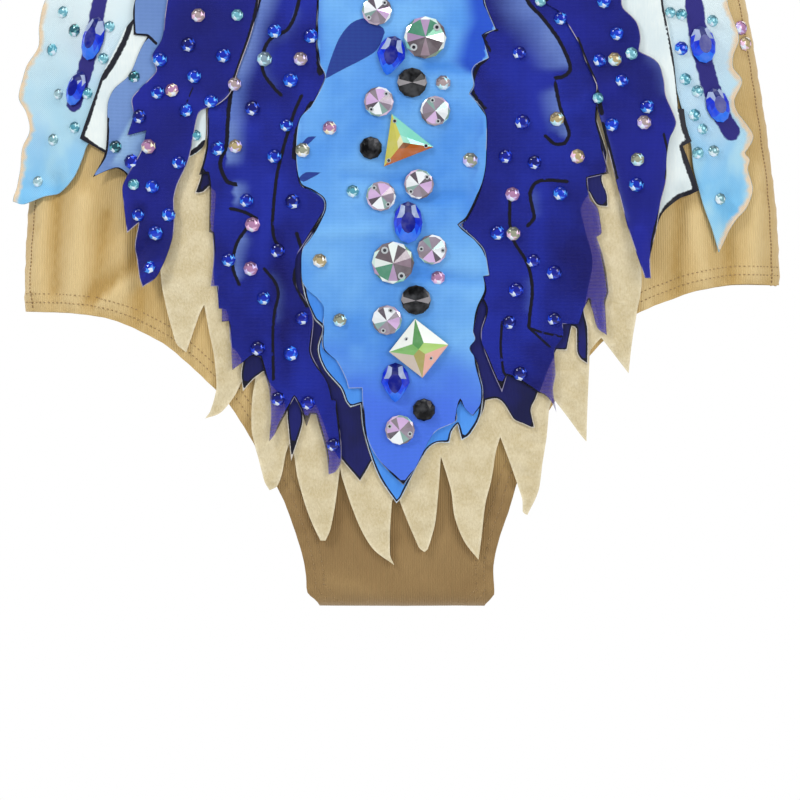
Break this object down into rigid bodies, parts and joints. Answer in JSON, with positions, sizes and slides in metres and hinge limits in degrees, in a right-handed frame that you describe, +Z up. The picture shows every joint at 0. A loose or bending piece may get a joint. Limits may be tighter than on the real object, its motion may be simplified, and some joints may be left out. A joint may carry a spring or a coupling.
{
  "type": "gymnastics leotard",
  "caption": "Sleeveless stretch gymnastics leotard with layered satin and mesh flame panels, a cut felt underskirt, printed wings and sewn faceted stones",
  "frame": {"origin": "midpoint between the tops of the two shoulder straps, where the garment hangs", "axes": "+Z up along the body, +X to the viewer's right seen from the front, front faces -Y"},
  "size_m": [0.3008, 0.073, 0.6039],
  "materials": {
    "nude_lycra": "fine ribbed stretch lycra, soft satin sheen",
    "lining": "smooth nude lining knit",
    "nude_binding": "turned lycra hem with zigzag coverstitch",
    "zip_tape": "woven zip tape with a moulded coil edge",
    "zip_metal": "small nickel-plated slider and pull",
    "ivory_felt": "matte felt-like suede cloth, raw cut edges",
    "navy_satin": "smooth satin lycra, light cut edge, inked outline",
    "sky_satin": "smooth satin lycra",
    "navy_mesh": "fine power net, printed",
    "sky_mesh": "fine power net, printed",
    "feather_mesh": "fine power net, printed",
    "fish_tail_mesh": "fine power net, printed",
    "white_panel": "smooth white lycra with a thick black printed outline",
    "wing_print": "soft printed lycra, watercolour washes",
    "black_stone": "faceted jet stone, foiled back",
    "sapphire_stone": "faceted sapphire stone, foiled back",
    "ab_stone": "faceted clear stone with iridescent coating"
  },
  "bodies": {
    "garment": {"ab_square": "ab_stone", "ab_triangle": "ab_stone", "armhole_binding_left": "nude_binding", "armhole_binding_right": "nude_binding", "back_panel": "nude_lycra", "black_dome_1": "black_stone", "black_dome_2": "black_stone", "black_rivoli_1": "black_stone", "black_rivoli_2": "black_stone", "crotch_lining": "lining", "feather_left": "feather_mesh", "feather_right": "feather_mesh", "fish_tail": "fish_tail_mesh", "front_panel": "nude_lycra", "leg_hem_left": "nude_binding", "leg_hem_right": "nude_binding", "navy_mesh_left": "navy_mesh", "navy_mesh_right": "navy_mesh", "navy_satin_left": "navy_satin", "navy_satin_right": "navy_satin", "neck_binding": "nude_binding", "rivoli_1": "ab_stone", "rivoli_2": "ab_stone", "rivoli_3": "ab_stone", "rivoli_4": "ab_stone", "rivoli_5": "ab_stone", "rivoli_6": "ab_stone", "rivoli_7": "ab_stone", "rivoli_8": "ab_stone", "rivoli_large_1": "ab_stone", "rivoli_large_2": "ab_stone", "sapphire_oval": "sapphire_stone", "sapphire_pear_1": "sapphire_stone", "sapphire_pear_2": "sapphire_stone", "sky_mesh": "sky_mesh", "sky_satin": "sky_satin", "underskirt": "ivory_felt", "white_panel_left": "white_panel", "white_panel_right": "white_panel", "wing_left": "wing_print", "wing_oval_1": "sapphire_stone", "wing_oval_2": "sapphire_stone", "wing_oval_3": "sapphire_stone", "wing_oval_4": "sapphire_stone", "wing_right": "wing_print", "zip_tape_left": "zip_tape", "zip_tape_right": "zip_tape"},
    "tongue_1": {"tongue_1": "ivory_felt"},
    "tongue_2": {"tongue_2": "ivory_felt"},
    "tongue_3": {"tongue_3": "ivory_felt"},
    "tongue_4": {"tongue_4": "ivory_felt"},
    "tongue_5": {"tongue_5": "ivory_felt"},
    "tongue_6": {"tongue_6": "ivory_felt"},
    "tongue_7": {"tongue_7": "ivory_felt"},
    "tongue_8": {"tongue_8": "ivory_felt"},
    "feather_left_tail": {"feather_left_tail": "feather_mesh"},
    "feather_right_tail": {"feather_right_tail": "feather_mesh"},
    "zip_slider": {"zip_slider": "zip_metal"},
    "zip_pull": {"zip_pull": "zip_metal"}
  },
  "joints": [
    {"name": "tongue_1_lift", "type": "hinge", "parent": "garment", "child": "tongue_1", "pos_m": [-0.08691, -0.02317, -0.48265], "axis": [-0.9913, 0.1319, 0], "range_deg": [0, 75]},
    {"name": "tongue_2_lift", "type": "hinge", "parent": "garment", "child": "tongue_2", "pos_m": [-0.06964, -0.02063, -0.51415], "axis": [-0.9971, 0.076, 0], "range_deg": [0, 75]},
    {"name": "tongue_3_lift", "type": "hinge", "parent": "garment", "child": "tongue_3", "pos_m": [-0.0523, -0.01755, -0.53865], "axis": [-0.9991, 0.0433, 0], "range_deg": [0, 75]},
    {"name": "tongue_4_lift", "type": "hinge", "parent": "garment", "child": "tongue_4", "pos_m": [-0.03346, -0.01545, -0.55415], "axis": [-0.9997, 0.0262, 0], "range_deg": [0, 75]},
    {"name": "tongue_5_lift", "type": "hinge", "parent": "garment", "child": "tongue_5", "pos_m": [-0.01234, -0.01444, -0.56235], "axis": [-1, 0.0094, 0], "range_deg": [0, 75]},
    {"name": "tongue_6_lift", "type": "hinge", "parent": "garment", "child": "tongue_6", "pos_m": [0.00703, -0.01448, -0.56235], "axis": [-0.9999, -0.0103, 0], "range_deg": [0, 75]},
    {"name": "tongue_7_lift", "type": "hinge", "parent": "garment", "child": "tongue_7", "pos_m": [0.02689, -0.0166, -0.54815], "axis": [-0.9998, -0.0211, 0], "range_deg": [0, 75]},
    {"name": "tongue_8_lift", "type": "hinge", "parent": "garment", "child": "tongue_8", "pos_m": [0.04906, -0.0177, -0.53815], "axis": [-0.9994, -0.0345, 0], "range_deg": [0, 75]},
    {"name": "feather_left_tail_lift", "type": "hinge", "parent": "garment", "child": "feather_left_tail", "pos_m": [-0.10058, -0.02593, -0.44115], "axis": [-0.9811, 0.1937, 0], "range_deg": [0, 75]},
    {"name": "feather_right_tail_lift", "type": "hinge", "parent": "garment", "child": "feather_right_tail", "pos_m": [0.09493, -0.02707, -0.44115], "axis": [-0.9831, -0.1829, 0], "range_deg": [0, 75]},
    {"name": "zip_slide", "type": "slide", "parent": "garment", "child": "zip_slider", "axis": [0, 0.0384, -0.9993], "range_m": [0, 0.154]},
    {"name": "zip_pull_swing", "type": "hinge", "parent": "zip_slider", "child": "zip_pull", "pos_m": [0, 0.02979, -0.05534], "axis": [1, 0, 0], "range_deg": [0, 150]}
  ]
}
